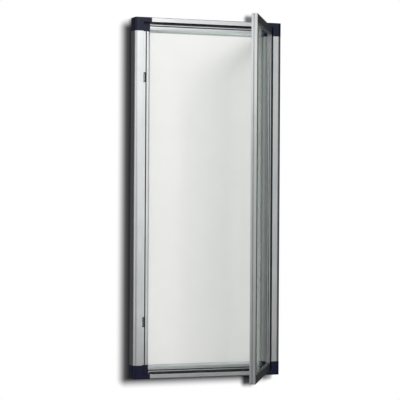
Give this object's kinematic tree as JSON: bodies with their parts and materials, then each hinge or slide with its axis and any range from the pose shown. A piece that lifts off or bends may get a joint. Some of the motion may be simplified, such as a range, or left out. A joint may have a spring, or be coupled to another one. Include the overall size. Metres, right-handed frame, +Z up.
{
  "type": "lockable notice board",
  "caption": "Slim wall-hung glazed notice board: aluminium frame with dark plastic corner caps, white steel back sheet, pivot-hung door standing open and a key-turned rod lock.",
  "frame": {"origin": "middle of the back face of the top rail, on the wall plane", "axes": "+X to the right as seen from the front, +Y into the wall, +Z up; the door opens towards -Y"},
  "size_m": [0.418, 0.3426, 0.95],
  "materials": {
    "aluminium": "satin anodised",
    "navy_plastic": "moulded, semi-gloss",
    "white_enamel": "smooth enamel on steel",
    "fibreboard": "raw hardboard",
    "rubber": "matte extruded",
    "steel": "zinc plated",
    "nylon": "natural moulded",
    "brass": "turned",
    "clear_pane": "clear, polished"
  },
  "bodies": {
    "root": {"case_stile_left": "aluminium", "case_stile_right": "aluminium", "case_rail_top": "aluminium", "case_rail_bottom": "aluminium", "corner_cap_top_left": "navy_plastic", "corner_cap_top_right": "navy_plastic", "corner_cap_bottom_left": "navy_plastic", "corner_cap_bottom_right": "navy_plastic", "steel_sheet": "white_enamel", "backing_board": "fibreboard", "door_seal_left": "rubber", "door_seal_right": "rubber", "door_seal_top": "rubber", "door_seal_bottom": "rubber", "hanger_plate_top_left": "steel", "hanger_plate_top_right": "steel", "hanger_plate_bottom_left": "steel", "hanger_plate_bottom_right": "steel", "hanger_screw_top_left": "steel", "hanger_screw_top_right": "steel", "hanger_screw_bottom_left": "steel", "hanger_screw_bottom_right": "steel", "stile_screw_top_left": "steel", "stile_screw_top_right": "steel", "stile_screw_bottom_left": "steel", "stile_screw_bottom_right": "steel", "rail_screw_top_left": "steel", "rail_screw_top_right": "steel", "rail_screw_bottom_left": "steel", "rail_screw_bottom_right": "steel", "pivot_bush_top": "nylon", "pivot_bush_bottom": "nylon", "rod_guide_top": "nylon", "rod_guide_middle": "nylon", "lock_housing": "brass"},
    "door": {"door_stile_free": "aluminium", "door_stile_hinge": "aluminium", "door_rail_top": "aluminium", "door_rail_bottom": "aluminium", "door_key_top_left": "steel", "door_key_top_right": "steel", "door_key_bottom_left": "steel", "door_key_bottom_right": "steel", "pivot_pin_top": "steel", "pivot_pin_bottom": "steel", "door_pane": "clear_pane", "glazing_seal": "rubber"},
    "lock": {"lock_rod": "steel", "lock_claw_upper": "steel", "lock_claw_lower": "steel", "claw_screw_upper": "steel", "claw_screw_lower": "steel", "lock_plug": "brass"}
  },
  "joints": [
    {"name": "door_hinge", "type": "hinge", "parent": "root", "child": "door", "pos_m": [0.1761, -0.0244, -0.457], "axis": [0, 0, 1], "range_deg": [-61, 31]},
    {"name": "lock_turn", "type": "hinge", "parent": "root", "child": "lock", "pos_m": [-0.1685, -0.0088, -0.457], "axis": [0, 0, 1], "range_deg": [0, 50]}
  ]
}
